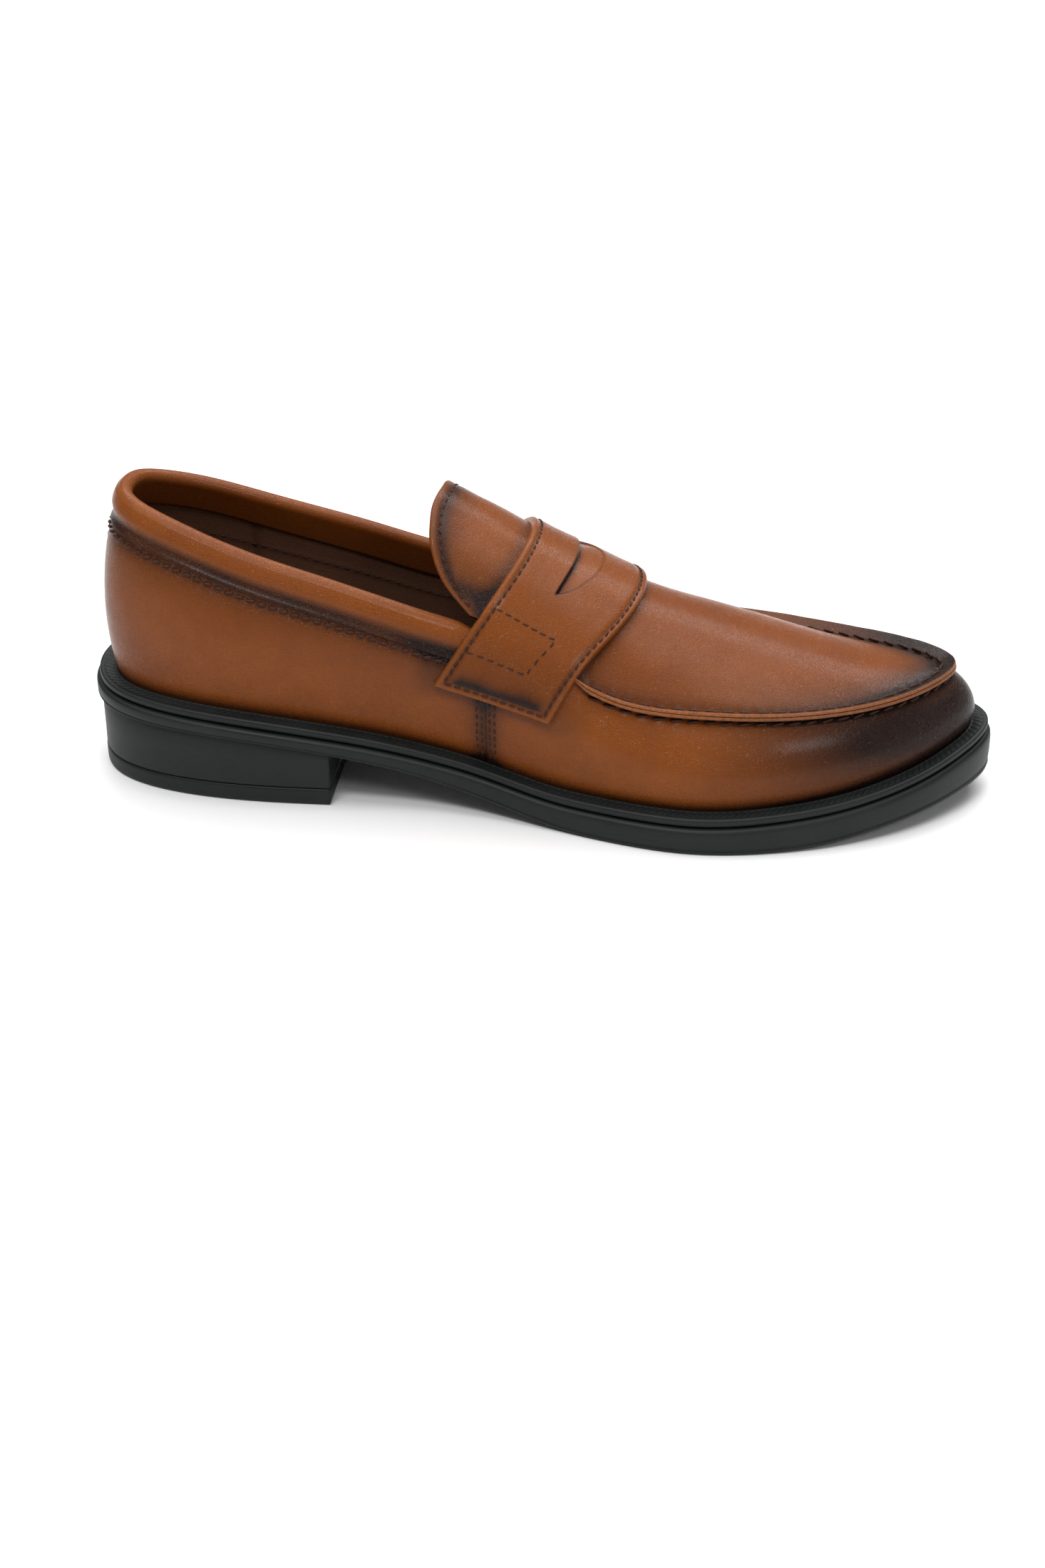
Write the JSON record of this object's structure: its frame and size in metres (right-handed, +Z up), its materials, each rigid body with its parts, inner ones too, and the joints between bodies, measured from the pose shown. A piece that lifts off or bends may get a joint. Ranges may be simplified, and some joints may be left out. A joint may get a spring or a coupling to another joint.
{
  "type": "penny loafer",
  "caption": "Left slip-on leather loafer with a raised apron seam, slotted saddle strap, padded collar, flexing tongue and a low block heel.",
  "frame": {"origin": "on the ground under the middle of the sole's length and width", "axes": "+X to the toe, +Y to the outer (lateral) side of this left shoe, +Z up"},
  "size_m": [0.3022, 0.1072, 0.0995],
  "materials": {
    "upper_leather": "semi-gloss tan leather, fine pebbled grain, burnished darker at the toe and seams",
    "leather_edge": "raw cut leather edge, lighter tan",
    "lining_leather": "matt dark brown lining leather",
    "sock": "matt dark blue-black sock lining",
    "sole_rubber": "matt black rubber, fine horizontal texture on the side",
    "stiffener": "pressed fibre stiffener",
    "board": "cellulose insole board",
    "cork": "cork and resin filler",
    "foam": "soft foam",
    "steel": "spring steel"
  },
  "bodies": {
    "shoe": {"outsole": "sole_rubber", "heel_block": "sole_rubber", "top_lift": "sole_rubber", "welt": "sole_rubber", "insole_board": "board", "cork_filler": "cork", "shank": "steel", "heel_nails": "steel", "heel_pad": "foam", "sock_liner": "sock", "vamp": "upper_leather", "inner_quarter": "upper_leather", "outer_quarter": "upper_leather", "vamp_lining": "lining_leather", "inner_lining": "lining_leather", "outer_lining": "lining_leather", "heel_lining": "lining_leather", "heel_counter": "stiffener", "toe_puff": "stiffener", "inner_doubler": "stiffener", "outer_doubler": "stiffener", "collar_band": "upper_leather", "collar_foam": "foam", "apron": "upper_leather", "apron_edge": "leather_edge", "apron_lining": "lining_leather", "saddle_strap": "upper_leather"},
    "tongue": {"tongue": "upper_leather", "tongue_lining": "lining_leather"}
  },
  "joints": [
    {"name": "tongue_flex", "type": "hinge", "parent": "shoe", "child": "tongue", "pos_m": [-0.004, 0.004, 0.084], "axis": [0, 1, 0], "range_deg": [0, 22], "stiffness_Nm_per_rad": 0.3}
  ]
}
